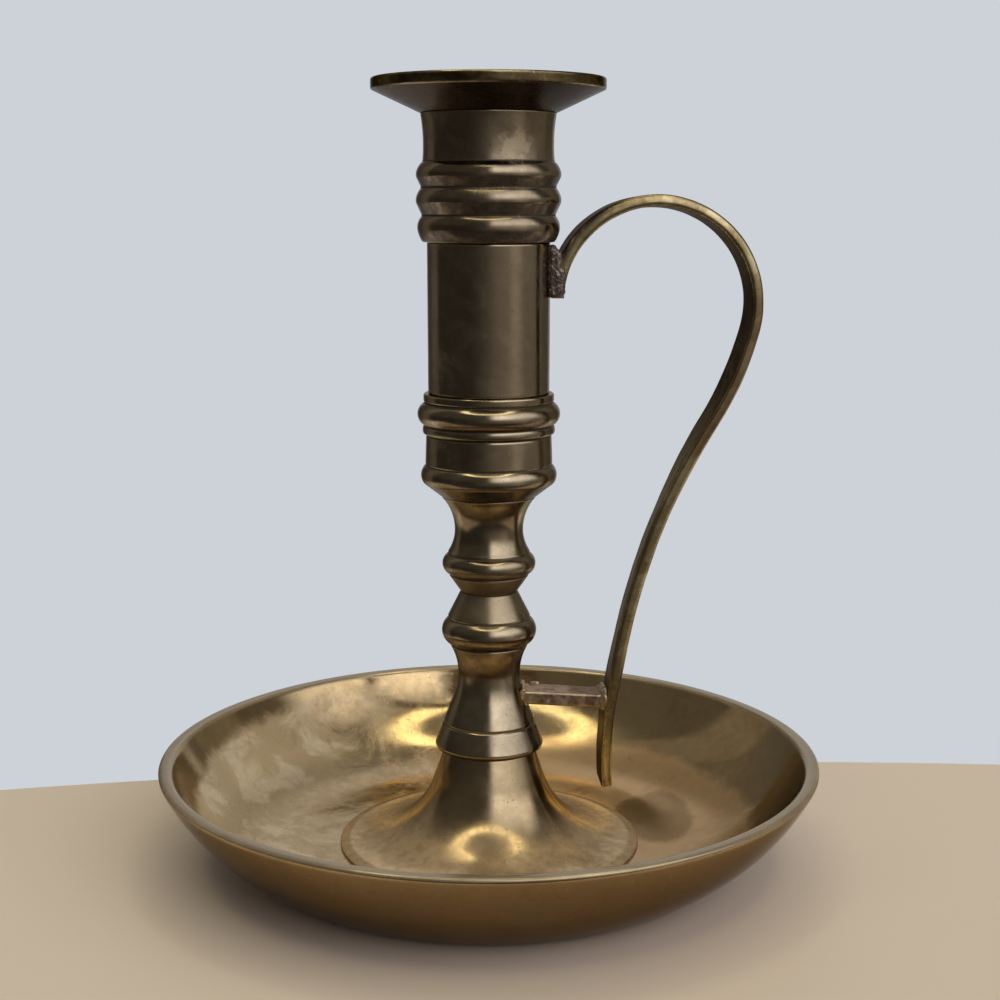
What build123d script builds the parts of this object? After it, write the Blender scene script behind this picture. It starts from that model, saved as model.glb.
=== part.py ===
from build123d import *
import os
from math import asin, atan2, degrees, hypot, radians, sqrt, tan

# Brass chamberstick: a drip pan, a trumpet foot, a turned stem, a candle socket and a finger loop.
# Millimetres, +Z up. The origin is on the table under the pan's centre, and the loop points to +X.
# The turned pieces stack on one axis, and each height is measured from the piece's own seat.

# Drip pan: a turned dish with a bowed wall, a flat rim and a base ring round a shallow hollow
pan_radius = 68.3
pan_height = 22.25
pan_base_radius = 46.0
pan_wall_bow = 2.75
pan_wall = 2.65
pan_rim_softening = 0.5
pan_floor_thickness = 3.1
pan_blend_radius = 30.0
pan_blend_limit_share = 0.7
pan_base_ring_width = 8.0
pan_hollow_depth = 0.5

# Foot: a hollow trumpet with a narrow bevelled rim, solid at the top
foot_height = 20.3
foot_rim_radius = 31.2
foot_edge_height = 0.65
foot_bevel_width = 2.0
foot_bevel_height = 0.55
foot_flare_radius = 18.7
foot_taper = 18.0
foot_wall = 2.5
foot_web = 7.0

# Lower stem: a rounded collar, a vase and a knop that ends in a cone
collar_under_radius = 9.8
collar_radius = 11.2
collar_round_height = 1.1
collar_top_radius = 9.45
collar_taper_height = 4.5
vase_shoulder_radius = 7.2
vase_flare_height = 5.8
vase_neck_radius = 6.37
vase_hollow_height = 4.5
lower_knop_foot_radius = 8.0
vase_rise_height = 6.3
lower_knop_radius = 9.85
lower_knop_under_height = 2.8
lower_knop_top_radius = 8.6
lower_knop_over_height = 2.8
waist_radius = 5.85
lower_cone_height = 5.5

# Upper stem: a cone, a knop and a spool
upper_cone_height = 3.55
upper_knop_foot_radius = 8.25
upper_knop_under_height = 2.2
upper_knop_radius = 9.55
upper_knop_over_height = 2.2
upper_knop_top_radius = 8.5
spool_neck_radius = 6.98
spool_lower_height = 4.95
spool_top_radius = 9.55
spool_upper_height = 6.7
spool_land_height = 0.3

# Socket base: a cone, a ring, a plain band and a torus between two fillets
base_seat_radius = 9.8
base_cone_radius = 13.35
base_cone_height = 2.85
base_ring_radius = 13.85
base_ring_under_height = 1.05
base_ring_over_height = 2.75
band_foot_radius = 12.9
band_top_radius = 12.68
band_height = 6.0
lower_fillet_radius = 13.3
lower_fillet_height = 1.8
torus_radius = 14.45
torus_height = 4.5
upper_fillet_radius = 13.15
upper_fillet_height = 1.85
base_hollow_radius = 9.2
base_floor = 8.0

# Plain tube between the socket base and the candle cup
tube_radius = 12.25
tube_wall = 1.45
tube_length = 30.0

# Candle cup: equal rings, a waisted neck, a bore for the candle and a tapped boss under its floor
candle_bore_radius = 11.3
cup_floor = 3.0
cup_land_radius = 13.05
cup_land_height = 0.35
ring_count = 3
ring_pitch = 5.05
ring_radius = 14.35
ring_groove_radius = 13.3
neck_foot_radius = 13.0
neck_step_height = 0.4
neck_waist_radius = 12.87
neck_lower_height = 3.4
neck_top_radius = 13.4
neck_upper_height = 5.65
boss_radius = 6.5
boss_length = 7.0

# Drip flange: a cone with an upright edge and a dished top, wider in the bore than the candle
flange_radius = 23.05
flange_bore_radius = 11.8
flange_cone_height = 4.5
flange_edge_height = 2.2
flange_lip_width = 1.5
flange_dish_depth = 1.2
flange_edge_softening = 0.3

# Registers: each piece has a short spigot that centres it in the next one
register_clearance = 0.05
register_relief = 0.3
foot_register_radius = 6.0
foot_register_length = 3.0
waist_register_radius = 4.4
waist_register_length = 2.5
socket_register_radius = 5.5
socket_register_length = 3.0
tube_register_length = 4.0
flange_register_radius = 12.2
flange_register_length = 2.5

# Tie screw: countersunk under the pan, running up the axis into the cup's boss
screw_radius = 3.0
screw_head_radius = 5.4
screw_bore_clearance = 0.25
screw_thread_clearance = 0.05
screw_tip_rise = 1.2
screw_tip_clearance = 0.4
screw_slot_width = 1.4
screw_slot_depth = 0.9

# Finger loop: a flat strip, bent in one plane to a crown, a shoulder, a long sweep and a free tail.
# The shoulder is set by the distance from the crown's end to the corner that it rounds.
strip_thickness = 2.2
strip_width = 9.0
strip_softening = 0.4
handle_end_drop = 11.35
crown_radius = 20.2
crown_end_drop = 3.92
shoulder_reach = 11.76
tail_length = 18.6
tail_lean = 1.5

# Bracket from the stem to the head of the tail, which is a little lower
bracket_thickness = 2.1
bracket_width = 8.4
bracket_rise = 11.5
bracket_fall = 1.14
bracket_reach = 25.82

# Braze lumps at the three joints of the loop
braze_margin = 0.9
braze_softening = 0.7
braze_socket_length = 10.2
braze_stem_reach = 2.4
braze_tail_reach = 1.9

# Seats of the stacked pieces
collar_top = collar_round_height + collar_taper_height
vase_shoulder = collar_top + vase_flare_height
vase_neck = vase_shoulder + vase_hollow_height
lower_knop_foot = vase_neck + vase_rise_height
lower_knop_crest = lower_knop_foot + lower_knop_under_height
lower_knop_top = lower_knop_crest + lower_knop_over_height
lower_stem_height = lower_knop_top + lower_cone_height

upper_knop_crest = upper_cone_height + upper_knop_under_height
upper_knop_top = upper_knop_crest + upper_knop_over_height
spool_neck = upper_knop_top + spool_lower_height
spool_top = spool_neck + spool_upper_height
upper_stem_height = spool_top + spool_land_height

base_ring_crest = base_cone_height + base_ring_under_height
band_foot = base_ring_crest + base_ring_over_height
band_top = band_foot + band_height
torus_foot = band_top + lower_fillet_height
torus_top = torus_foot + torus_height
socket_base_height = torus_top + upper_fillet_height

neck_foot = cup_land_height + ring_count * ring_pitch + neck_step_height
neck_waist = neck_foot + neck_lower_height
cup_height = neck_waist + neck_upper_height

stem_seat = pan_floor_thickness + foot_height
waist_seat = stem_seat + lower_stem_height
socket_seat = waist_seat + upper_stem_height
tube_seat = socket_seat + socket_base_height
cup_seat = tube_seat + tube_length
flange_seat = cup_seat + cup_height

tube_bore_radius = tube_radius - tube_wall
tube_register_radius = tube_bore_radius - register_clearance
screw_bore_radius = screw_radius + screw_bore_clearance


def turned(seat, outline):
    """Turn a closed outline of (radius, height) edges about the axis and lift it to its seat."""
    return Pos(0, 0, seat) * revolve(Plane.XZ * make_face(outline), axis=Axis.Z)


def cylinder_up(radius, start, end):
    """A plain cylinder on the axis between two heights."""
    return Pos(0, 0, start) * extrude(Circle(radius), end - start)


def drip_pan():
    """The dish: its inner wall runs at one thickness inside the outer one, and blends into the floor."""
    outer = SagittaArc((pan_base_radius, 0), (pan_radius, pan_height), -pan_wall_bow)
    centre = outer.arc_center
    inner_radius = outer.radius - pan_wall
    rim_inner_at = centre.X + sqrt(inner_radius**2 - (centre.Y - pan_height) ** 2)
    floor_corner_at = centre.X + sqrt(inner_radius**2 - (centre.Y - pan_floor_thickness) ** 2)
    rim_inner = (rim_inner_at, pan_height)
    floor_corner = (floor_corner_at, pan_floor_thickness)
    hollow_radius = pan_base_radius - pan_base_ring_width
    outline = make_face([
        Line((0, pan_hollow_depth), (hollow_radius, pan_hollow_depth)),
        Line((hollow_radius, pan_hollow_depth), (hollow_radius, 0)),
        Line((hollow_radius, 0), (pan_base_radius, 0)),
        outer,
        Line((pan_radius, pan_height), rim_inner),
        RadiusArc(rim_inner, floor_corner, inner_radius),
        Line(floor_corner, (0, pan_floor_thickness)),
        Line((0, pan_floor_thickness), (0, pan_hollow_depth)),
    ])
    blend_radius = min(pan_blend_radius, inner_radius * pan_blend_limit_share)
    outline = fillet(outline.vertices().sort_by_distance(floor_corner)[0], blend_radius)
    rim_corners = outline.vertices().group_by(Axis.Y)[-1]
    outline = fillet(rim_corners, pan_rim_softening)
    dish = revolve(Plane.XZ * outline, axis=Axis.Z)
    hole = cylinder_up(screw_bore_radius, 0, pan_height)
    return dish - hole - screw_head()


def screw_head():
    """The countersunk cone of the tie screw, a right angle across, flush with the pan's hollow."""
    rise = screw_head_radius - screw_radius
    return turned(pan_hollow_depth, [
        Polyline((0, 0), (screw_head_radius, 0), (screw_radius, rise), (0, rise), close=True)
    ])


def tie_screw():
    """Head, shank and screwdriver slot."""
    shank = cylinder_up(screw_radius, pan_hollow_depth, cup_seat + screw_tip_rise)
    slot = Pos(0, 0, pan_hollow_depth) * Box(
        2 * screw_head_radius, screw_slot_width, 2 * screw_slot_depth
    )
    return screw_head() + shank - slot


def foot():
    """The trumpet: a taper that flares through one arc to a crease, then a bevelled rim."""
    crease_radius = foot_rim_radius - foot_bevel_width
    crease = foot_edge_height + foot_bevel_height
    centre = crease + foot_flare_radius
    hollow_radius = foot_flare_radius + foot_wall
    hollow_top = foot_height - foot_web
    hollow_foot_at = crease_radius - sqrt(hollow_radius**2 - centre**2)
    hollow_top_at = crease_radius - sqrt(hollow_radius**2 - (centre - hollow_top) ** 2)
    flare = JernArc((crease_radius, crease), (-1, 0), foot_flare_radius, foot_taper - 90)
    taper_start = flare @ 1
    top_radius = taper_start.X - (foot_height - taper_start.Y) * tan(radians(foot_taper))
    body = turned(pan_floor_thickness, [
        Line((hollow_foot_at, 0), (foot_rim_radius, 0)),
        Line((foot_rim_radius, 0), (foot_rim_radius, foot_edge_height)),
        Line((foot_rim_radius, foot_edge_height), (crease_radius, crease)),
        flare,
        Line(taper_start, (top_radius, foot_height)),
        Line((top_radius, foot_height), (0, foot_height)),
        Line((0, foot_height), (0, hollow_top)),
        Line((0, hollow_top), (hollow_top_at, hollow_top)),
        RadiusArc((hollow_top_at, hollow_top), (hollow_foot_at, 0), -hollow_radius),
    ])
    register = cylinder_up(
        foot_register_radius + register_clearance,
        stem_seat - foot_register_length - register_relief,
        stem_seat,
    )
    return body - register - cylinder_up(screw_bore_radius, 0, stem_seat)


def lower_stem():
    """Collar, vase, knop and cone, with a register at each end."""
    crest = (collar_radius, collar_round_height)
    collar_end = (collar_top_radius, collar_top)
    shoulder = (vase_shoulder_radius, vase_shoulder)
    neck = (vase_neck_radius, vase_neck)
    knop_foot = (lower_knop_foot_radius, lower_knop_foot)
    knop_top = (lower_knop_top_radius, lower_knop_top)
    waist = (waist_radius, lower_stem_height)
    body = turned(stem_seat, [
        Line((0, 0), (collar_under_radius, 0)),
        TangentArc(crest, (collar_under_radius, 0), tangent=(0, -1)),
        Line(crest, collar_end),
        Line(collar_end, shoulder),
        TangentArc(neck, shoulder, tangent=(0, -1)),
        TangentArc(neck, knop_foot, tangent=(0, 1)),
        ThreePointArc(knop_foot, (lower_knop_radius, lower_knop_crest), knop_top),
        Line(knop_top, waist),
        Line(waist, (0, lower_stem_height)),
        Line((0, lower_stem_height), (0, 0)),
    ])
    spigot = cylinder_up(foot_register_radius, stem_seat - foot_register_length, stem_seat)
    register = cylinder_up(
        waist_register_radius + register_clearance,
        waist_seat - waist_register_length - register_relief,
        waist_seat,
    )
    return body + spigot - register - cylinder_up(screw_bore_radius, 0, waist_seat)


def upper_stem():
    """Cone, knop and spool, with a register at each end."""
    knop_foot = (upper_knop_foot_radius, upper_cone_height)
    knop_top = (upper_knop_top_radius, upper_knop_top)
    neck = (spool_neck_radius, spool_neck)
    spool_end = (spool_top_radius, spool_top)
    body = turned(waist_seat, [
        Line((0, 0), (waist_radius, 0)),
        Line((waist_radius, 0), knop_foot),
        ThreePointArc(knop_foot, (upper_knop_radius, upper_knop_crest), knop_top),
        TangentArc(neck, knop_top, tangent=(0, -1)),
        TangentArc(neck, spool_end, tangent=(0, 1)),
        Line(spool_end, (spool_top_radius, upper_stem_height)),
        Line((spool_top_radius, upper_stem_height), (0, upper_stem_height)),
        Line((0, upper_stem_height), (0, 0)),
    ])
    spigot = cylinder_up(waist_register_radius, waist_seat - waist_register_length, waist_seat)
    register = cylinder_up(
        socket_register_radius + register_clearance,
        socket_seat - socket_register_length - register_relief,
        socket_seat,
    )
    return body + spigot - register - cylinder_up(screw_bore_radius, 0, socket_seat)


def socket_base():
    """Cone, ring, band and torus, hollow above its floor, with a spigot inside the tube."""
    cone_end = (base_cone_radius, base_cone_height)
    band_start = (band_foot_radius, band_foot)
    band_end = (band_top_radius, band_top)
    torus_mid = (torus_foot + torus_top) / 2
    body = turned(socket_seat, [
        Line((0, 0), (base_seat_radius, 0)),
        Line((base_seat_radius, 0), cone_end),
        ThreePointArc(cone_end, (base_ring_radius, base_ring_crest), band_start),
        Line(band_start, band_end),
        Line(band_end, (lower_fillet_radius, band_top)),
        Line((lower_fillet_radius, band_top), (lower_fillet_radius, torus_foot)),
        ThreePointArc(
            (lower_fillet_radius, torus_foot), (torus_radius, torus_mid), (upper_fillet_radius, torus_top)
        ),
        Line((upper_fillet_radius, torus_top), (upper_fillet_radius, socket_base_height)),
        Line((upper_fillet_radius, socket_base_height), (0, socket_base_height)),
        Line((0, socket_base_height), (0, 0)),
    ])
    lower_spigot = cylinder_up(socket_register_radius, socket_seat - socket_register_length, socket_seat)
    upper_end = tube_seat + tube_register_length
    upper_spigot = cylinder_up(tube_register_radius, tube_seat, upper_end)
    hollow = cylinder_up(base_hollow_radius, socket_seat + base_floor, upper_end)
    bore = cylinder_up(screw_bore_radius, 0, upper_end)
    return body + lower_spigot + upper_spigot - hollow - bore


def socket_tube():
    """A plain length of tube."""
    return Pos(0, 0, tube_seat) * extrude(Circle(tube_radius) - Circle(tube_bore_radius), tube_length)


def candle_cup():
    """Rings and neck outside, the candle's bore inside, a spigot and a tapped boss below."""
    neck_start = (neck_foot_radius, neck_foot)
    neck_end = (neck_top_radius, cup_height)
    rings = []
    for index in range(ring_count):
        ring_foot = cup_land_height + index * ring_pitch
        rings.append(ThreePointArc(
            (ring_groove_radius, ring_foot),
            (ring_radius, ring_foot + ring_pitch / 2),
            (ring_groove_radius, ring_foot + ring_pitch),
        ))
    body = turned(cup_seat, [
        Line((0, 0), (cup_land_radius, 0)),
        Line((cup_land_radius, 0), (ring_groove_radius, cup_land_height)),
        *rings,
        Line((ring_groove_radius, neck_foot - neck_step_height), neck_start),
        ThreePointArc(neck_start, (neck_waist_radius, neck_waist), neck_end),
        Line(neck_end, (0, cup_height)),
        Line((0, cup_height), (0, 0)),
    ])
    boss = cylinder_up(boss_radius, cup_seat - boss_length, cup_seat)
    lower_spigot = cylinder_up(tube_register_radius, cup_seat - tube_register_length, cup_seat)
    mouth = flange_seat + flange_register_length
    upper_spigot = cylinder_up(flange_register_radius, flange_seat, mouth)
    candle_bore = cylinder_up(candle_bore_radius, cup_seat + cup_floor, mouth)
    thread_end = cup_seat + screw_tip_rise + screw_tip_clearance
    thread = cylinder_up(screw_radius + screw_thread_clearance, 0, thread_end)
    return body + boss + lower_spigot + upper_spigot - candle_bore - thread


def drip_flange():
    """The flange, dished on top, with a counterbore that drops over the cup's spigot."""
    edge_top = flange_cone_height + flange_edge_height
    lip_radius = flange_radius - flange_lip_width
    dish = edge_top - flange_dish_depth
    outline = make_face(Polyline(
        (flange_bore_radius, 0),
        (neck_top_radius, 0),
        (flange_radius, flange_cone_height),
        (flange_radius, edge_top),
        (lip_radius, edge_top),
        (flange_bore_radius, dish),
        close=True,
    ))
    edge_corners = outline.vertices().group_by(Axis.X)[-1]
    outline = fillet(edge_corners, flange_edge_softening)
    flange = Pos(0, 0, flange_seat) * revolve(Plane.XZ * outline, axis=Axis.Z)
    counterbore_end = flange_seat + flange_register_length + register_relief
    return flange - cylinder_up(flange_register_radius + register_clearance, 0, counterbore_end)


def handle_path():
    """Centre line of the strip as (distance from the axis, height) edges, from the tube to the tail's end."""
    start = Vector(tube_radius + strip_thickness / 2, cup_seat - handle_end_drop)
    tail_head = Vector(bracket_reach, stem_seat + bracket_rise - bracket_fall)
    tail_way = Vector(-tail_lean, -sqrt(tail_length**2 - tail_lean**2)) / tail_length
    crown_turn = 180 + degrees(asin(crown_end_drop / crown_radius))
    crown = JernArc(start, (0, 1), crown_radius, -crown_turn)
    # Two arcs lead on to the tail, and each one's corner is as far from their meeting as from its other end
    shoulder_corner = crown @ 1 + (crown % 1) * shoulder_reach
    span = tail_head - shoulder_corner
    sweep_reach = (span.dot(span) - shoulder_reach**2) / (2 * (span.dot(tail_way) + shoulder_reach))
    sweep_corner = tail_head - tail_way * sweep_reach
    meet = shoulder_corner + (sweep_corner - shoulder_corner).normalized() * shoulder_reach
    shoulder = TangentArc(crown @ 1, meet, tangent=crown % 1)
    sweep_arc = TangentArc(meet, tail_head, tangent=shoulder % 1)
    tail = Line(tail_head, tail_head + tail_way * tail_length)
    return [crown, shoulder, sweep_arc, tail]


def handle_strip():
    """The strip's section swept along its centre line."""
    path = handle_path()
    start = path[0] @ 0
    section = Pos(start.X, 0, start.Y) * RectangleRounded(strip_thickness, strip_width, strip_softening)
    return sweep(section, path=Plane.XZ * Wire(path))


def bracket_bar(start, length, width, thickness):
    """A flat bar on the line from the stem to the head of the tail, starting part way along it."""
    slope = degrees(atan2(bracket_fall, bracket_reach - vase_neck_radius))
    bar = Pos(start, 0, 0) * Box(length, width, thickness, align=(Align.MIN, Align.CENTER, Align.CENTER))
    return Pos(vase_neck_radius, 0, stem_seat + bracket_rise) * Rot(0, slope, 0) * bar


def bracket_span():
    """Distance from the bracket's root inside the vase to the strip's centre line."""
    return hypot(bracket_reach - vase_neck_radius, bracket_fall)


def handle_bracket(stem, strip):
    """The bar, filed hollow to the stem and butted against the strip."""
    return bracket_bar(0, bracket_span(), bracket_width, bracket_thickness) - stem - strip


def braze_collar(start, length, joined):
    """A soft-edged lump of braze round the bracket, less the pieces that it joins."""
    lump = bracket_bar(
        start, length, bracket_width + 2 * braze_margin, bracket_thickness + 2 * braze_margin
    )
    lump = fillet(lump.edges(), braze_softening)
    for piece in joined:
        lump = lump - piece
    return lump


def braze_socket(strip):
    """Braze in the wedge between the tube and the strip's upper end, just past the strip's edges."""
    start = handle_path()[0] @ 0
    face = JernArc(start, (0, 1), crown_radius, -degrees(braze_socket_length / crown_radius))
    top = face @ 1
    wedge = make_face([
        face,
        Line(top, (tube_bore_radius, top.Y)),
        Line((tube_bore_radius, top.Y), (tube_bore_radius, start.Y)),
        Line((tube_bore_radius, start.Y), start),
    ])
    lump = extrude(Plane.XZ * wedge, strip_width / 2 + braze_margin, both=True)
    tube_core = cylinder_up(tube_radius, tube_seat, cup_seat)
    return lump - tube_core - strip


stem = lower_stem()
strip = handle_strip()
bracket = handle_bracket(stem, strip)
stem_braze_length = vase_shoulder_radius - vase_neck_radius + braze_stem_reach
tail_braze_length = strip_thickness / 2 + braze_tail_reach

pieces = {
    "pan": drip_pan(),
    "tie_screw": tie_screw(),
    "foot": foot(),
    "lower_stem": stem,
    "upper_stem": upper_stem(),
    "socket_base": socket_base(),
    "socket_tube": socket_tube(),
    "candle_cup": candle_cup(),
    "drip_flange": drip_flange(),
    "handle_strip": strip,
    "handle_bracket": bracket,
    "braze_socket": braze_socket(strip),
    "braze_stem": braze_collar(0, stem_braze_length, [stem, bracket]),
    "braze_tail": braze_collar(bracket_span() - tail_braze_length, tail_braze_length, [strip, bracket]),
}

os.makedirs("parts", exist_ok=True)
for name, piece in pieces.items():
    export_step(piece, f"parts/{name}.step")
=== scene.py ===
import math

import bpy
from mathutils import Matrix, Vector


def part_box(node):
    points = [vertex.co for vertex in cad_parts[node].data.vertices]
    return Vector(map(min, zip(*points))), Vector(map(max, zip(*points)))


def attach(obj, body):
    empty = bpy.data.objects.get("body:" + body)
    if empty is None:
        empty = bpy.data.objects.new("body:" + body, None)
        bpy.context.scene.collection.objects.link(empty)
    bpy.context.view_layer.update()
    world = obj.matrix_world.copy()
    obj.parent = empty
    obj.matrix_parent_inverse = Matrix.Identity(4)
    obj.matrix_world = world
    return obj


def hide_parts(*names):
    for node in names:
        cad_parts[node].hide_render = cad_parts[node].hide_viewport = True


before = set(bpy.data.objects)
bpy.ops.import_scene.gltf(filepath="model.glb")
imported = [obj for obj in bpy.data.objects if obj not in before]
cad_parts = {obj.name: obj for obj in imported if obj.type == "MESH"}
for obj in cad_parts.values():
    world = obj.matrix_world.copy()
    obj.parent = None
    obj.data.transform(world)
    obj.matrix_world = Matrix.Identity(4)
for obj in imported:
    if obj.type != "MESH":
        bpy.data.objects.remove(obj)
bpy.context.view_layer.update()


# Drip pan: a heavy brass dish, cast and then turned all over, with a flat rim, a bowed wall and a base
# ring round a shallow hollow. The tie screw holds it, and one side of its inside is dull with tan tarnish.
MM = 0.001


class Tap:
    """A socket of a node tree. Sums on it add Math nodes, and node() adds any other node."""

    def __init__(self, tree, socket=None):
        self.tree = tree
        self.socket = socket

    def node(self, kind, settings=(), sockets=(), output=0):
        """Add a node: its settings are set first, then the values or links of its sockets."""
        made = self.tree.nodes.new(kind)
        for name, value in dict(settings).items():
            if name == "stops":
                ramp = made.color_ramp.elements
                while len(ramp) < len(value):
                    ramp.new(1)
                for element, (position, level) in zip(ramp, value):
                    element.position = position
                    element.color = level
            else:
                setattr(made, name, value)
        for key, value in dict(sockets).items():
            if isinstance(value, Tap):
                self.tree.links.new(value.socket, made.inputs[key])
            else:
                made.inputs[key].default_value = value
        return Tap(self.tree, made.outputs[output] if len(made.outputs) else None)

    def other(self, name):
        """Another output of the node that this socket belongs to."""
        return Tap(self.tree, self.socket.node.outputs[name])

    def sum(self, operation, *values):
        """A Math node on these values."""
        return self.node("ShaderNodeMath", {"operation": operation}, enumerate(values))

    def __add__(self, value):
        return self.sum("ADD", self, value)

    def __sub__(self, value):
        return self.sum("SUBTRACT", self, value)

    def __rsub__(self, value):
        return self.sum("SUBTRACT", value, self)

    def __mul__(self, value):
        return self.sum("MULTIPLY", self, value)

    def __truediv__(self, value):
        return self.sum("DIVIDE", self, value)

    __radd__ = __add__
    __rmul__ = __mul__

    def rise(self, low, high):
        """A soft step from 0 at low to 1 at high."""
        sockets = {"Value": self, "From Min": low, "From Max": high}
        return self.node("ShaderNodeMapRange", {"interpolation_type": "SMOOTHSTEP"}, sockets)

    def cloud(self, scale, detail=4.0, roughness=0.55, distortion=0.0):
        """Noise on this place, of so many clouds to the metre."""
        sockets = {"Vector": self, "Scale": scale, "Detail": detail, "Roughness": roughness}
        return self.node("ShaderNodeTexNoise", {}, {**sockets, "Distortion": distortion})

    def blend(self, start, end):
        """A colour between two others, by this share."""
        return self.node("ShaderNodeMix", {"data_type": "RGBA"}, {0: self, 6: start, 7: end}, 2)

    def vector(self, operation, *values, output=0):
        """A Vector Math node on these vectors."""
        return self.node("ShaderNodeVectorMath", {"operation": operation}, enumerate(values), output)

    def attribute(self, name):
        """A value that the piece's mesh carries under this name."""
        return self.node("ShaderNodeAttribute", {"attribute_name": name}, {}, "Fac")


def colour(red, green, blue):
    """A linear colour from its usual 0 to 255 levels."""
    levels = [level / 255 for level in (red, green, blue)]
    linear = [v / 12.92 if v <= 0.04045 else ((v + 0.055) / 1.055) ** 2.4 for v in levels]
    return (*linear, 1.0)


CRISP_ANGLE = math.radians(50)


def node_group(name, inputs):
    """An empty Geometry Nodes tree with named inputs, its input tap and a function that closes it."""
    tree = bpy.data.node_groups.new(name, "GeometryNodeTree")
    for label, kind in inputs.items():
        tree.interface.new_socket(label, in_out="INPUT", socket_type="NodeSocket" + kind)
    tree.interface.new_socket("Piece", in_out="OUTPUT", socket_type="NodeSocketGeometry")
    given = Tap(tree).node("NodeGroupInput")

    def close(mesh):
        """Smooth all but the crisp edges, give the finish and end the tree."""
        smooth = mesh.node("GeometryNodeSetShadeSmooth", {}, {"Geometry": mesh})
        fold = mesh.node("GeometryNodeInputMeshEdgeAngle")
        crisp = fold.node("FunctionNodeCompare", {"operation": "GREATER_THAN"}, {"A": fold, "B": CRISP_ANGLE})
        smooth = smooth.node("GeometryNodeSetShadeSmooth", {"domain": "EDGE"}, {
            "Geometry": smooth, "Selection": crisp, "Shade Smooth": False,
        })
        real = smooth.node("GeometryNodeRealizeInstances", {}, {"Geometry": smooth})
        sockets = {"Geometry": real, "Material": given.other("Finish")}
        done = real.node("GeometryNodeSetMaterial", {}, sockets)
        done.node("NodeGroupOutput", {}, {"Piece": done})
        return tree

    return given, close


def made_by(tree, name, points, edges, values):
    """Run a tree on a line of points, and keep the result as an object with a plain mesh."""
    line = bpy.data.meshes.new(name + "_line")
    line.from_pydata(points, edges, [])
    carrier = bpy.data.objects.new(name + "_line", line)
    bpy.context.scene.collection.objects.link(carrier)
    modifier = carrier.modifiers.new(tree.name, "NODES")
    modifier.node_group = tree
    for socket in tree.interface.items_tree:
        if socket.in_out == "INPUT" and socket.name in values:
            modifier[socket.identifier] = values[socket.name]
    depsgraph = bpy.context.evaluated_depsgraph_get()
    mesh = bpy.data.meshes.new_from_object(carrier.evaluated_get(depsgraph), depsgraph=depsgraph)
    bpy.data.objects.remove(carrier)
    piece = bpy.data.objects.new(name, mesh)
    bpy.context.scene.collection.objects.link(piece)
    return piece


def fit(piece, node):
    """Let a finished piece ride on the body and stand for its solid."""
    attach(piece, "root")
    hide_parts(node)


def stored(geometry, name, value):
    """Keep a value on each point of a geometry, under a name that the finish can read."""
    sockets = {"Geometry": geometry, "Name": name, "Value": value}
    return geometry.node("GeometryNodeStoreNamedAttribute", {"data_type": "FLOAT"}, sockets)


def shifted(mesh, distance):
    """Move a surface along its normals by a distance."""
    normal = mesh.node("GeometryNodeInputNormal")
    offset = normal.node("ShaderNodeVectorMath", {"operation": "SCALE"}, {0: normal, "Scale": distance})
    return mesh.node("GeometryNodeSetPosition", {}, {"Geometry": mesh, "Offset": offset})


def waved(mesh, scale, depth):
    """Move a surface in and out by noise, as hand finishing leaves it."""
    place = mesh.node("GeometryNodeInputPosition")
    return shifted(mesh, (place.cloud(scale, 2.0) - 0.5) * depth)


def keep_bends(line):
    """Store how sharply a line turns at each point, plus for a proud edge and minus for a groove."""
    tangent = line.node("GeometryNodeInputTangent")
    ways = []
    for step in (-1, 1):
        index = line.node("GeometryNodeOffsetPointInCurve", {}, {"Offset": step}, "Point Index")
        ways.append(line.node(
            "GeometryNodeFieldAtIndex", {"data_type": "FLOAT_VECTOR"}, {"Value": tangent, "Index": index}
        ))
    turn = line.vector("CROSS_PRODUCT", *ways)
    turn = turn.node("ShaderNodeSeparateXYZ", {}, {"Vector": turn}, "Z")
    turn = turn.node("GeometryNodeBlurAttribute", {"data_type": "FLOAT"}, {"Value": turn, "Iterations": 1})
    return stored(line, "bend", turn)


RING_RADIUS = 10.0 * MM
POLE_GAP = 0.02 * MM


def turning_tree():
    """An outline of radius and depth, turned about the axis, with its bends kept as an attribute."""
    given, close = node_group("turned_on_the_axis", {
        "Outline": "Geometry", "Spacing": "Float", "Softening": "Int", "Sides": "Int",
        "Waviness": "Float", "Wave scale": "Float", "Finish": "Material",
    })
    line = given.node("GeometryNodeMeshToCurve", {}, {"Mesh": given.other("Outline")})
    line = line.node("GeometryNodeResampleCurve", {"mode": "LENGTH"}, {
        "Curve": line, "Length": given.other("Spacing"),
    })
    # The lathe tool leaves no sharp corners, so the points move to the middle of their neighbours
    place = given.node("GeometryNodeInputPosition")
    soft = place.node("GeometryNodeBlurAttribute", {"data_type": "FLOAT_VECTOR"}, {
        "Value": place, "Iterations": given.other("Softening"),
    })
    line = line.node("GeometryNodeSetPosition", {}, {"Geometry": line, "Position": soft})
    line = keep_bends(line)
    ring = given.node("GeometryNodeCurvePrimitiveCircle", {}, {
        "Resolution": given.other("Sides"), "Radius": RING_RADIUS,
    })
    mesh = ring.node("GeometryNodeCurveToMesh", {}, {"Curve": ring, "Profile Curve": line})
    mesh = mesh.node("GeometryNodeMergeByDistance", {}, {"Geometry": mesh, "Distance": POLE_GAP})
    return close(waved(mesh, given.other("Wave scale"), given.other("Waviness")))


turning = turning_tree()
ARC_STEP = 0.35
FEWEST_ARC_STEPS = 4


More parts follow.
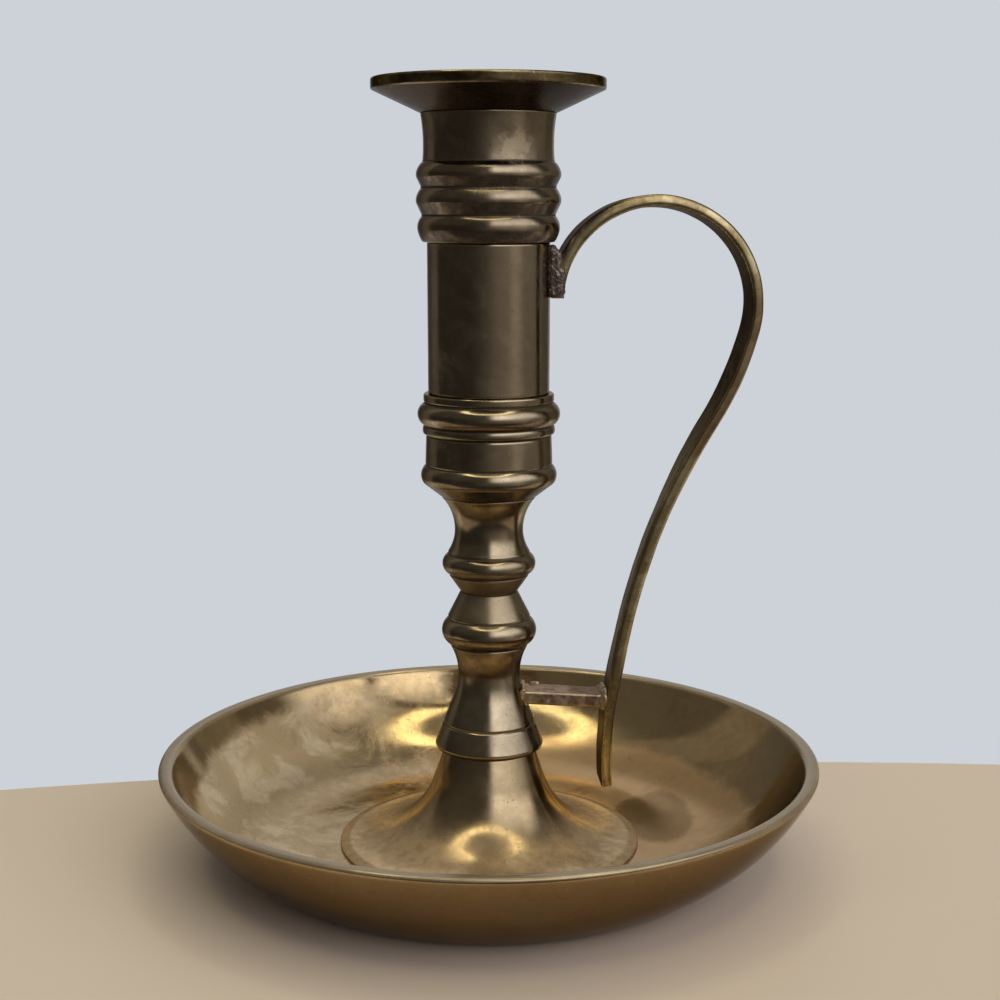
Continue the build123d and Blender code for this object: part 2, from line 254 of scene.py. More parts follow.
def outline_points(rows, seat):
    """Points of an outline of (radius, height, bow) rows in millimetres, bowed stretches as arcs."""
    points = []
    start = rows[0]
    for end in (*rows[1:], rows[0]):
        points.append((start[0], start[1]))
        bow = end[2]
        if bow:
            run, climb = end[0] - start[0], end[1] - start[1]
            length = math.hypot(run, climb)
            half_turn = 2 * math.atan2(2 * abs(bow), length)
            radius = length / 2 / math.sin(half_turn)
            steps = max(FEWEST_ARC_STEPS, round(2 * radius * half_turn / ARC_STEP))
            for step in range(1, steps):
                angle = half_turn * (2 * step / steps - 1)
                share = 0.5 + radius * math.sin(angle) / length
                proud = math.copysign(radius * (math.cos(angle) - math.cos(half_turn)), bow)
                points.append((
                    start[0] + run * share + climb / length * proud,
                    start[1] + climb * share - run / length * proud,
                ))
        start = end
    # The tree takes depth below the seat, so the outline is listed backwards to keep faces outwards
    return [(r * MM - RING_RADIUS, -(z * MM + seat), 0) for r, z in reversed(points)]


def turned_piece(name, rows, seat, finish, spacing=0.16, sides=160, waviness=0.03, wave=60.0):
    """Turn an outline on the axis. An outline that starts and ends on the axis is left open there."""
    points = outline_points(rows, seat)
    closed = rows[0][0] > 0
    count = len(points)
    edges = [(index, (index + 1) % count) for index in range(count if closed else count - 1)]
    return made_by(turning, name, points, edges, {
        "Spacing": spacing * MM, "Softening": 1, "Sides": sides,
        "Waviness": waviness * MM, "Wave scale": wave, "Finish": finish,
    })


class OldBrass:
    """The finish of a brass piece as it builds up: bare metal, a brown film, stains, then wear."""

    def __init__(self, name, bare, film, stain, clouds, gloss, bloom=0.09, chalk=0.04):
        self.material = bpy.data.materials.new(name)
        self.material.use_nodes = True
        self.material.node_tree.nodes.clear()
        self.bare = bare
        self.film = film
        place = Tap(self.material.node_tree).node("ShaderNodeTexCoord", {}, {}, "Object")
        normal = place.other("Normal")
        self.place = place
        self.x = place.node("ShaderNodeSeparateXYZ", {}, {"Vector": place}, "X")
        self.y = self.x.other("Y")
        self.z = self.x.other("Z")
        across = place.vector("MULTIPLY", place, (1, 1, 0))
        self.radius = across.vector("LENGTH", across, output="Value")
        self.up = normal.node("ShaderNodeSeparateXYZ", {}, {"Vector": normal}, "Z")

        # A film lies over the whole surface, thicker in drifts, with dull stains where it has bloomed
        drift = place.cloud(clouds * 0.6, 6.0, 0.66, 0.4).rise(0.34, 0.68)
        self.stains = place.cloud(clouds, 8.0, 0.70, 0.5).rise(0.42, 0.72)
        self.mottle = place.cloud(480.0, 4.0, 0.62).rise(0.34, 0.66)
        self.grain = place.cloud(1300.0, 3.0, 0.6)
        tone = (drift * 0.5 + self.mottle * 0.3 + self.grain * 0.25).blend(bare, film)
        self.tone = (self.stains * 0.75).blend(tone, stain)
        self.rough = gloss + drift * 0.05 + self.stains * bloom + self.mottle * 0.04
        self.dull = self.stains * chalk
        self.free_of_soot_and_shade = 1.0

    def lay(self, share, hold, tone, rough=0.0, dull=0.0):
        """Cover a share of the surface with a tone, held so strongly, and rougher and duller by so much."""
        self.tone = (share * hold).blend(self.tone, tone)
        self.rough = self.rough + share * rough
        self.dull = self.dull + share * dull

    def soot_and_shade_undersides(self, depth, matt=0.25):
        """Darken the faces that look down: soot, as they are never polished, and painted shade where they
        face away from the light.
        """
        soot_and_shade = (self.up * -1.0 + (self.mottle - 0.5) * 0.2).rise(0.10, 0.55) * depth
        self.lay(soot_and_shade, 1.0, colour(66, 54, 44), rough=0.10, dull=matt)
        self.free_of_soot_and_shade = 1.0 - soot_and_shade

    def wear(self, tool_marks, worn=0.35):
        """Add tool marks, scratches and specks, rub the proud edges bright and leave dirt in grooves."""
        place = self.place
        # Tool marks run round the axis, so they change with the height and the radius only
        rings = place.node("ShaderNodeCombineXYZ", {}, {
            "X": self.radius * tool_marks, "Y": self.z * tool_marks,
        })
        marks = rings.cloud(1.0, 3.0, 0.7)
        scored = place.node("ShaderNodeMapping", {}, {
            "Vector": place, "Rotation": (0.5, 0.3, 0.9), "Scale": (2600.0, 130.0, 900.0),
        })
        scratches = scored.cloud(1.0, 2.0, 0.5).rise(0.66, 0.74) * self.free_of_soot_and_shade
        specks = place.cloud(1900.0, 2.0, 0.5).rise(0.69, 0.76)
        bend = place.attribute("bend")
        rubbed = bend.rise(0.20, 0.60) * place.cloud(120.0, 3.0).rise(0.38, 0.62)
        dirt = (bend * -1.0).rise(0.15, 0.50)
        dark = colour(38, 28, 17)
        self.lay(rubbed, worn, colour(200, 180, 140))
        self.lay(dirt, 0.85, dark, rough=0.3, dull=0.5)
        self.lay(specks, 0.7, dark, dull=0.4)
        self.lay(scratches, 0.25, colour(205, 180, 130))
        self.rough = self.rough + marks * 0.05
        self.height = marks * 0.5 + self.grain * 0.3 - scratches * 0.5 - specks * 0.8

    def done(self, grazing=0.45):
        """Close the material. At a grazing angle the metal keeps this share of its shine."""
        bump = self.height.node("ShaderNodeBump", {}, {
            "Height": self.height, "Strength": 0.12, "Distance": 0.05 * MM,
        })
        shader = self.tone.node("ShaderNodeBsdfPrincipled", {}, {
            "Base Color": self.tone, "Metallic": 1.0 - self.dull, "Roughness": self.rough, "Normal": bump,
            "Specular Tint": (grazing, grazing * 0.94, grazing * 0.86, 1.0),
        })
        shader.node("ShaderNodeOutputMaterial", {}, {"Surface": shader})
        return self.material


pan_look = OldBrass(
    "pan_brass", bare=colour(196, 170, 128), film=colour(164, 138, 98), stain=colour(160, 144, 112),
    clouds=75.0, gloss=0.015, bloom=0.08, chalk=0.10,
)
# The faces that look down are painted brown: partly tarnish, as they are never polished, and partly painted
# shade
pan_look.lay((pan_look.up * -1.0).rise(0.1, 0.6), 0.75, colour(119, 95, 64))
# Wiped out less often on one side, the inside has gone tan and dull there, but not under the rim
inside = pan_look.up.rise(0.0, 0.25)
tarnish = pan_look.place.cloud(70.0, 8.0, 0.68, 0.7)
crust = (tarnish * 0.6 + 0.2 - pan_look.x * 6.0 - pan_look.y * 1.5).rise(0.50, 0.66) * inside
crust_edge = pan_look.radius - pan_look.y * 0.06 + tarnish * 0.005
crust = crust * (1.0 - crust_edge.rise(62.0 * MM, 64.0 * MM))
warm = (tarnish + pan_look.x * 5.0).rise(0.36, 0.62) * pan_look.up.rise(0.2, 0.6)
warm = warm * (1.0 - (pan_look.radius + tarnish * 0.006).rise(56.0 * MM, 59.0 * MM))
pale = pan_look.place.cloud(60.0, 6.0, 0.66, 0.8).rise(0.50, 0.62)
pan_wall = pan_look.radius.rise(50.0 * MM, 58.0 * MM) * inside
crust_tone = (pan_look.mottle * 0.5 + pan_look.stains * 0.3).blend(colour(206, 184, 152), pan_look.film)
crust_tone = (pale * 0.6).blend(crust_tone, colour(226, 210, 182))
crust_dull = 0.26 + pan_look.mottle * 0.2 + pale * 0.1 + pan_wall * 0.25
pan_look.lay(warm, 0.5, colour(202, 160, 112), rough=0.06, dull=0.38)
pan_look.lay(crust, 0.85, crust_tone, rough=0.14, dull=crust_dull)
pan_look.dull = pan_look.dull + pan_wall * 0.10
# A long patch of the floor beside the foot is a painted shadow: darker and barer metal
painted_shadow = pan_look.place.vector("MULTIPLY", pan_look.place, (1.0, 0.6, 0.0))
painted_shadow = painted_shadow.vector("DISTANCE", painted_shadow, (36.5 * MM, 4.8 * MM, 0), output="Value")
painted_shadow = 1.0 - (painted_shadow + (tarnish - 0.5) * 0.006).rise(7.5 * MM, 9.5 * MM)
pan_look.lay(painted_shadow, 0.6, colour(128, 104, 74))
pan_look.dull = pan_look.dull * (1.0 - painted_shadow * 0.55)
# The rim is handled most and has gone grey
pan_look.lay(pan_look.z.rise(21.2 * MM, 22.0 * MM), 0.85, colour(150, 135, 116), rough=0.1, dull=0.4)
pan_look.wear(tool_marks=1400.0)
pan_brass = pan_look.done(grazing=0.6)
pan_rows = [
    (5.4, 0.5, 0), (38.0, 0.5, 0), (38.0, 0.06, 0), (45.8, 0.06, 0), (68.0, 21.6, 2.66), (67.85, 22.1, 0),
    (67.5, 22.2, 0), (65.6, 22.2, 0), (65.2, 22.0, 0), (59.6, 13.6, -0.3), (36.8, 3.1, -2.75),
    (3.25, 3.1, 0), (3.25, 2.65, 0),
]
pan_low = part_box("pan")[0]
pan = turned_piece(
    "drip_pan", pan_rows, pan_low.z, pan_brass, spacing=0.42, sides=240, waviness=0.05, wave=45.0
)
fit(pan, "pan")


# Tie screw: one long countersunk steel screw on the axis, which clamps the stack from under the pan.
# Only its slotted head shows, worn and dull, in the pan's hollow.
screw_steel = bpy.data.materials.new("worn_steel")
screw_steel.use_nodes = True
screw_steel.node_tree.nodes.clear()
steel_place = Tap(screw_steel.node_tree).node("ShaderNodeTexCoord", {}, {}, "Object")
brushed = steel_place.node("ShaderNodeMapping", {}, {"Vector": steel_place, "Scale": (4000.0, 300.0, 4000.0)})
brushed = brushed.cloud(1.0, 3.0, 0.6)
rust = steel_place.cloud(420.0, 5.0, 0.65).rise(0.52, 0.72)
steel_tone = (brushed * 0.6).blend(colour(122, 118, 112), colour(164, 160, 152))
steel_tone = (rust * 0.8).blend(steel_tone, colour(82, 56, 38))
steel_bump = brushed.node("ShaderNodeBump", {}, {"Height": brushed, "Strength": 0.2, "Distance": 0.04 * MM})
steel_shader = steel_tone.node("ShaderNodeBsdfPrincipled", {}, {
    "Base Color": steel_tone, "Metallic": 1.0 - rust * 0.7, "Roughness": 0.34 + rust * 0.4 + brushed * 0.1,
    "Normal": steel_bump,
})
steel_shader.node("ShaderNodeOutputMaterial", {}, {"Surface": steel_shader})
for material_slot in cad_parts["tie_screw"].material_slots:
    material_slot.material = screw_steel


# Foot: a trumpet turned from a brass casting, hollow below, which the tie screw holds on the pan's floor
# on a thin bevelled rim. It is browner than the pan, and its spread skirt is paler and dull.
foot_low, foot_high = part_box("foot")
foot_look = OldBrass(
    "foot_brass", bare=colour(168, 148, 116), film=colour(136, 116, 88), stain=colour(152, 134, 108),
    clouds=110.0, gloss=0.09, bloom=0.11, chalk=0.06,
)
skirt_tone = (foot_look.mottle * 0.4 + foot_look.stains * 0.3).blend(colour(226, 194, 150), foot_look.film)
foot_look.lay(foot_look.radius.rise(12.0 * MM, 22.0 * MM), 0.8, skirt_tone, rough=0.07, dull=0.40)
foot_look.wear(tool_marks=2600.0)
foot_brass = foot_look.done()
foot_rows = [
    (21.9, 0, 2.13), (31.0, 0, 0), (31.2, 0.2, 0), (31.2, 0.65, 0), (29.2, 1.2, 0), (11.415, 14.12, -3.57),
    (9.407, 20.3, 0), (6.05, 20.3, 0), (6.05, 17.0, 0), (3.25, 17.0, 0), (3.25, 13.3, 0), (9.06, 13.3, 0),
]
foot = turned_piece("trumpet_foot", foot_rows, foot_low.z, foot_brass, spacing=0.2, sides=192)
fit(foot, "foot")


# Lower stem: collar, vase and knop turned from one piece of brass, spigoted into the foot. A scored line
# marks each change of shape, and the seams above and below it are fine and dark.
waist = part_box("lower_stem")[1].z
stem_look = OldBrass(
    "turned_brass", bare=colour(163, 148, 124), film=colour(131, 116, 93), stain=colour(150, 135, 115),
    clouds=130.0, gloss=0.10, bloom=0.11, chalk=0.06,
)
# Soot and painted shade darken the faces that look down
stem_look.soot_and_shade_undersides(0.35)
# The metal within a few millimetres of the narrow waist is darker, rougher and duller
from_waist = stem_look.z - waist
waist_film = 1.0 - from_waist.sum("ABSOLUTE", from_waist).rise(3.0 * MM, 7.5 * MM)
stem_look.lay(waist_film, 0.6, stem_look.film, rough=0.13, dull=0.12)
stem_look.wear(tool_marks=2600.0)
turned_brass = stem_look.done()
stem_rows = [
    (3.25, -3.0, 0), (6.0, -3.0, 0), (6.0, 0, 0), (9.7, 0, 0), (11.2, 1.1, 0.43), (9.62, 5.3, 0),
    (9.24, 5.55, 0), (9.40, 5.8, 0), (7.2, 11.4, 0), (6.37, 15.9, -0.21), (7.93, 21.9, -0.40),
    (7.70, 22.15, 0), (8.12, 22.4, 0), (8.68, 27.5, 1.32), (8.32, 27.8, 0), (8.48, 28.1, 0), (5.85, 33.3, 0),
    (4.45, 33.3, 0), (4.45, 30.5, 0), (3.25, 30.5, 0),
]
lower_stem = turned_piece("vase_stem", stem_rows, foot_high.z, turned_brass)
fit(lower_stem, "lower_stem")


# Upper stem: a cone, a knop and a spool turned from one piece of brass, spigoted into the lower stem at
# the narrow waist. Scored lines again run above and below the knop.
spool_rows = [
    (3.25, -2.5, 0), (4.4, -2.5, 0), (4.4, 0, 0), (5.75, 0, 0), (8.14, 3.4, 0), (7.92, 3.62, 0),
    (8.32, 3.85, 0), (8.62, 7.7, 1.07), (8.26, 7.98, 0), (8.40, 8.25, 0), (6.98, 12.9, -0.37),
    (9.55, 19.6, -0.66), (9.55, 19.9, 0), (5.55, 19.9, 0), (5.55, 16.6, 0), (3.25, 16.6, 0),
]
upper_stem = turned_piece("spool_stem", spool_rows, waist, turned_brass)
fit(upper_stem, "upper_stem")


# Socket base: a cone, a ring, a plain band and a torus between two fillets, turned from one piece of
# brass. It is spigoted into the upper stem and carries the tube on a short spigot.
base_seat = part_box("upper_stem")[1].z
base_rows = [
    (3.25, -3.0, 0), (5.5, -3.0, 0), (5.5, 0, 0), (9.8, 0, 0), (13.32, 2.75, 0), (12.95, 6.2, 0.62),
    (12.72, 6.38, 0), (12.86, 6.56, 0), (12.68, 12.2, 0), (12.44, 12.4, 0), (12.7, 12.62, 0),
    (13.25, 12.8, 0), (13.25, 14.2, 0.12), (13.0, 14.45, 0), (12.98, 18.95, 1.40), (12.85, 19.1, 0),
    (13.15, 19.3, 0), (13.15, 20.6, 0), (12.95, 20.8, 0), (10.75, 20.8, 0), (10.75, 24.8, 0),
    (9.2, 24.8, 0), (9.2, 8.0, 0), (3.25, 8.0, 0),
]
socket_base = turned_piece("socket_base_rings", base_rows, base_seat, turned_brass)
fit(socket_base, "socket_base")


# Plain tube: drawn brass, turned true and clamped between the socket base and the candle cup. It has fine
# scratches and a few pale stains.
tube_low, tube_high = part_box("socket_tube")
tube_look = OldBrass(
    "socket_brass", bare=colour(162, 146, 124), film=colour(131, 115, 95), stain=colour(150, 135, 116),
    clouds=130.0, gloss=0.10, bloom=0.12, chalk=0.08,
)
# Soot and painted shade darken the faces that look down
tube_look.soot_and_shade_undersides(0.6)
tube_look.wear(tool_marks=2600.0)
socket_brass = tube_look.done(grazing=0.6)
tube_rows = [(10.8, 0, 0), (12.2, 0, 0), (12.25, 30.0, 0), (10.8, 30.0, 0)]
tube = turned_piece("plain_tube", tube_rows, tube_low.z, socket_brass, spacing=0.3)
fit(tube, "socket_tube")


# Candle cup: turned brass, with three rings, each round above and coned below, and a waisted neck. It is
# bored for the candle, the tie screw ends under its floor, and its rings carry soot and painted shade
# underneath.
cup_look = OldBrass(
    "cup_brass", bare=colour(150, 134, 112), film=colour(120, 105, 86), stain=colour(144, 129, 110),
    clouds=130.0, gloss=0.10, bloom=0.12, chalk=0.08,
)
cup_look.soot_and_shade_undersides(0.9, matt=0.6)
# One faint pale spot is left on the neck
neck_spot = (4.2 * MM, -12.4 * MM, tube_high.z + 18.0 * MM)
spot = cup_look.place.vector("DISTANCE", cup_look.place, neck_spot, output="Value")
spot = 1.0 - (spot + (cup_look.mottle - 0.5) * 0.003).rise(1.0 * MM, 4.2 * MM)
cup_look.lay(spot, 0.45, colour(190, 172, 142), rough=0.15, dull=0.15)
cup_look.wear(tool_marks=2600.0)
cup_brass = cup_look.done(grazing=0.6)
cup_rows = [
    (0, -7.0, 0), (6.5, -7.0, 0), (6.5, -4.0, 0), (10.75, -4.0, 0), (10.75, 0, 0), (13.05, 0, 0),
    (13.3, 0.3, 0), (14.14, 2.6, 0.12), (14.12, 3.0, 0), (13.8, 4.3, 0.09), (13.25, 5.1, 0.05),
    (13.2, 5.28, 0), (14.36, 7.7, 0), (14.38, 8.1, 0), (14.0, 9.6, 0.1), (13.4, 10.5, 0.05), (13.33, 10.7, 0),
    (14.3, 12.7, 0), (14.33, 13.1, 0), (13.95, 14.5, 0.1), (13.3, 15.4, 0.05), (13.0, 15.6, 0),
    (13.0, 15.9, 0), (13.4, 24.95, -0.3), (12.2, 24.95, 0), (12.2, 27.45, 0), (11.3, 27.45, 0),
    (11.3, 3.0, 0), (0, 3.0, 0),
]
cup = turned_piece("ringed_cup", cup_rows, tube_high.z, cup_brass)
fit(cup, "candle_cup")


# Drip flange: a wide cone of turned brass with an upright edge and a dished top, bored to drop over the
# cup's spigot. It is the darkest turned piece, with soot and painted shade underneath, and its upper edge is
# rubbed bright.
flange_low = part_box("drip_flange")[0]
flange_look = OldBrass(
    "flange_brass", bare=colour(106, 92, 66), film=colour(72, 60, 43), stain=colour(158, 141, 94),
    clouds=160.0, gloss=0.10,
)
flange_look.soot_and_shade_undersides(1.0)
flange_look.wear(tool_marks=2600.0, worn=0.7)
flange_brass = flange_look.done(grazing=0.4)
flange_rows = [
    (12.25, 0, 0), (13.4, 0, 0), (23.0, 4.45, 0), (23.05, 4.7, 0), (23.05, 6.4, 0), (22.8, 6.65, 0),
    (21.6, 6.65, 0), (11.8, 5.5, 0), (11.8, 2.8, 0), (12.25, 2.8, 0),
]
flange = turned_piece("drip_flange_disc", flange_rows, flange_low.z, flange_brass, spacing=0.18, sides=192)
fit(flange, "drip_flange")


# Finger loop: a flat brass strip bent by hand, brazed to the tube above and to the bracket below, with its
# lower end left as a free tail. Its edges are filed, and it twists a little along the way.
TWISTS = [(place, (level, level, level, 1.0)) for place, level in (
    (0, 0.50), (0.09, 0.48), (0.18, 0.60), (0.27, 0.60), (0.365, 0.56), (0.47, 0.65),
    (0.555, 0.42), (0.64, 0.13), (0.74, 0.14), (0.82, 0.18), (0.90, 0.40), (1, 0.44),
)]
NO_TWIST = 0.5
SECTION_STEP = 0.22 * MM
CORNER_STEPS = 5


def sweeping_tree():
    """A flat section with rounded edges, drawn along a path in the upright plane."""
    given, close = node_group("strip_along_a_path", {
        "Path": "Geometry", "Spacing": "Float", "Thickness": "Float", "Width": "Float", "Edge": "Float",
        "Bevel": "Float", "Twist": "Float", "Root": "Float", "Sweep": "Float", "Waviness": "Float",
        "Wave scale": "Float", "Finish": "Material",
    })
    path = given.node("GeometryNodeMeshToCurve", {}, {"Mesh": given.other("Path")})
    path = path.node("GeometryNodeResampleCurve", {"mode": "LENGTH"}, {
        "Curve": path, "Length": given.other("Spacing"),
    })
    tangent = path.node("GeometryNodeInputTangent")
    across = tangent.vector("CROSS_PRODUCT", (0, 1, 0), tangent)
    path = path.node("GeometryNodeSetCurveNormal", {"mode": "FREE"}, {"Curve": path, "Normal": across})
    along = path.node("GeometryNodeSplineParameter", {}, {}, "Factor")
    level = along.node("ShaderNodeValToRGB", {"stops": TWISTS}, {"Fac": along})
    tilt = (level - NO_TWIST) * given.other("Twist")
    path = path.node("GeometryNodeSetCurveTilt", {}, {"Curve": path, "Tilt": tilt})
    path = stored(path, "along", along)
    section = given.node("GeometryNodeCurvePrimitiveQuadrilateral", {}, {
        "Width": given.other("Thickness"), "Height": given.other("Width"),
    })
    section = section.node("GeometryNodeFilletCurve", {"mode": "POLY"}, {
        "Curve": section, "Count": CORNER_STEPS, "Radius": given.other("Edge"),
    })
    section = section.node("GeometryNodeResampleCurve", {"mode": "LENGTH"}, {
        "Curve": section, "Length": SECTION_STEP,
    })
    section = keep_bends(section)
    inward = section.node("GeometryNodeInputPosition")
    inward = inward.node("ShaderNodeSeparateXYZ", {}, {"Vector": inward})
    depth = inward.other("Y") / (given.other("Width") * 0.5)
    section = stored(section, "filed", depth.sum("ABSOLUTE", depth))
    # The edges are filed at a slant, so that they look a little out of the loop
    slant = section.node("ShaderNodeCombineXYZ", {}, {"Y": inward * depth * given.other("Bevel")})
    section = section.node("GeometryNodeSetPosition", {}, {"Geometry": section, "Offset": slant})
    mesh = path.node("GeometryNodeCurveToMesh", {}, {
        "Curve": path, "Profile Curve": section, "Fill Caps": True,
    })
    # The end that was heated and hammered to the tube is left a little thicker, and so is the long sweep
    place = mesh.node("GeometryNodeInputNamedAttribute", {"data_type": "FLOAT"}, {"Name": "along"})
    root = 1.0 - place.rise(0.05, 0.28)
    sweep = place.rise(0.48, 0.62) * (1.0 - place.rise(0.84, 0.90))
    mesh = shifted(mesh, root * given.other("Root") + sweep * given.other("Sweep"))
    return close(waved(mesh, given.other("Wave scale"), given.other("Waviness")))


sweeping = sweeping_tree()


def strip_piece(name, points, values, finish):
    """Draw a flat strip along a line of points."""
    edges = [(index, index + 1) for index in range(len(points) - 1)]
    return made_by(sweeping, name, points, edges, {**values, "Finish": finish})


def bent_path(start, heading, bends, step_length):
    """Points of a path in the upright plane that runs through (length, turn) bends in turn."""
    x, z = start
    points = [(x, 0, z)]
    for length, turn in bends:
        steps = round(length / step_length)
        for _ in range(steps):
            heading += math.radians(turn) / steps / 2
            x += math.cos(heading) * length / steps
            z += math.sin(heading) * length / steps
            heading += math.radians(turn) / steps / 2
            points.append((x, 0, z))
    return points


def keep_skin(look, skin):
    """Leave the skin of the rolled metal on a strip's broad faces, which were never filed."""
    rolled = 1.0 - (look.place.attribute("filed") + (look.grain - 0.5) * 0.12).rise(0.84, 0.94)
    along = look.place.attribute("along")
    held = look.place.cloud(170.0, 5.0, 0.6, 0.6).rise(0.46, 0.62)
    skin_tone = (along.rise(0.48, 0.62) * 0.6).blend(skin, look.bare)
    look.lay(held, 0.35, colour(222, 206, 164))
    look.lay(rolled, 1.0, look.stains.blend(skin_tone, look.film), rough=0.14)
    return rolled, along


strip_look = OldBrass(
    "strip_brass", bare=colour(176, 158, 118), film=colour(122, 107, 78), stain=colour(98, 82, 60),
    clouds=260.0, gloss=0.20,
)
strip_look.wear(tool_marks=900.0)
rolled, along = keep_skin(strip_look, colour(78, 66, 52))
# Round the crown and on the tail the broad faces are painted darkest, as shade, and below the crown the edges
# have turned brown
crown_and_tail_shade = along.rise(0.16, 0.26) * (1.0 - along.rise(0.38, 0.46)) + along.rise(0.85, 0.89)
below_crown = along.rise(0.33, 0.40) * (1.0 - along.rise(0.52, 0.62))
strip_look.lay(crown_and_tail_shade * rolled, 0.6, colour(36, 30, 24))
strip_look.lay(below_crown * (1.0 - rolled), 0.5, colour(122, 92, 70))
strip_brass = strip_look.done(grazing=0.42)
strip_low, strip_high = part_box("handle_strip")
strip_thickness = 2.2 * MM
strip_end_drop = 10.75 * MM
strip_step = 0.8 * MM
loop_start = (tube_high.x + strip_thickness / 2, tube_high.z - strip_end_drop)
loop_heading = math.radians(88.3)
loop_bends = [
    (0.01897, -56.7), (0.04864, -136.0), (0.0200, -16.9), (0.04737, 19.4), (0.0131, 1.7), (0.0196, 14.0),
]
loop_path = bent_path(loop_start, loop_heading, loop_bends, strip_step)
loop = strip_piece("finger_loop", loop_path, {
    "Spacing": strip_step, "Thickness": strip_thickness, "Width": strip_high.y - strip_low.y,
    "Edge": 0.8 * MM, "Bevel": 0.16, "Twist": math.radians(-20), "Root": 0.2 * MM, "Sweep": 0.25 * MM,
    "Waviness": 0.18 * MM, "Wave scale": 160.0,
}, strip_brass)
fit(loop, "handle_strip")


# Bracket: a short flat brass bar, filed to the stem and brazed to it, which holds the loop's lower end.
# Brazing has left it grey-brown, with a pinkish bloom on its broad faces.
bracket_look = OldBrass(
    "bracket_brass", bare=colour(128, 108, 94), film=colour(92, 76, 68), stain=colour(184, 160, 146),
    clouds=420.0, gloss=0.30, chalk=0.4,
)
bracket_look.wear(tool_marks=900.0)
keep_skin(bracket_look, colour(204, 176, 158))
bracket_brass = bracket_look.done(grazing=0.35)
bracket_low, bracket_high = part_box("handle_bracket")
bracket_thickness = 2.8 * MM
bracket_width = 6.4 * MM
bracket_droop = 1.0 * MM
bracket_end_gap = 0.2 * MM
bracket_path = [
    (bracket_low.x, 0, bracket_high.z - bracket_thickness / 2),
    (bracket_high.x - bracket_end_gap, 0, bracket_low.z + bracket_thickness / 2 - bracket_droop),
]
bracket = strip_piece("stem_bracket", bracket_path, {
    "Spacing": 0.6 * MM, "Thickness": bracket_thickness, "Width": bracket_width, "Edge": 0.4 * MM,
    "Bevel": 0.0, "Twist": 0.0, "Root": 0.0, "Sweep": 0.0, "Waviness": 0.2 * MM, "Wave scale": 260.0,
}, bracket_brass)
fit(bracket, "handle_bracket")


# Braze: three lumps of brass filler run in by hand where the loop meets the tube and the bracket meets the
# stem and the loop. At the tube it is left dark and rough with slag, and at the bracket it is filed.
MELTING = 14
SWELLS_PER_METRE = 700.0
PITS_PER_METRE = 1900.0


def braze_tree():
    """Braze run along seams: drops of uneven size, melted together and pitted."""
    given, close = node_group("run_braze", {
        "Seams": "Geometry", "Drop": "Float", "Grain": "Float", "Swell": "Float", "Pits": "Float",
        "Finish": "Material",
    })
    seams = given.node("GeometryNodeMeshToCurve", {}, {"Mesh": given.other("Seams")})
    seams = seams.node("GeometryNodeResampleCurve", {"mode": "LENGTH"}, {
        "Curve": seams, "Length": given.other("Drop") * 0.5,
    })
    drops = seams.node("GeometryNodeCurveToPoints", {"mode": "EVALUATED"}, {"Curve": seams})
    place = drops.node("GeometryNodeInputPosition")
    size = given.other("Drop") * (place.cloud(500.0, 2.0) * 0.6 + 0.7)
    lump = drops.node("GeometryNodePointsToVolume", {"resolution_mode": "VOXEL_SIZE"}, {
        "Points": drops, "Radius": size, "Voxel Size": given.other("Grain"),
    })
    lump = lump.node("GeometryNodeVolumeToMesh", {"resolution_mode": "VOXEL_SIZE"}, {
        "Volume": lump, "Voxel Size": given.other("Grain"), "Threshold": 0.1,
    })
    place = lump.node("GeometryNodeInputPosition")
    melted = place.node("GeometryNodeBlurAttribute", {"data_type": "FLOAT_VECTOR"}, {
        "Value": place, "Iterations": MELTING,
    })
    lump = lump.node("GeometryNodeSetPosition", {}, {"Geometry": lump, "Position": melted})
    lump = waved(lump, SWELLS_PER_METRE, given.other("Swell"))
    return close(waved(lump, PITS_PER_METRE, given.other("Pits")))


def braze_finish(name, bright, dark, pale):
    """Braze as it cooled: metal under slag and crumbs of pale flux."""
    material = bpy.data.materials.new(name)
    material.use_nodes = True
    material.node_tree.nodes.clear()
    place = Tap(material.node_tree).node("ShaderNodeTexCoord", {}, {}, "Object")
    slag = place.cloud(900.0, 5.0, 0.65).rise(0.44, 0.64)
    flux = place.cloud(1500.0, 3.0, 0.6, 0.5).rise(0.62, 0.70)
    tone = (flux * 0.7).blend(slag.blend(bright, dark), pale)
    crumbs = place.cloud(3200.0, 4.0, 0.7)
    bump = crumbs.node("ShaderNodeBump", {}, {"Height": crumbs, "Strength": 0.5, "Distance": 0.12 * MM})
    shader = tone.node("ShaderNodeBsdfPrincipled", {}, {
        "Base Color": tone, "Metallic": 0.9 - slag * 0.4 - flux * 0.4, "Roughness": 0.34 + slag * 0.25,
        "Normal": bump,
    })
    shader.node("ShaderNodeOutputMaterial", {}, {"Surface": shader})
    return material


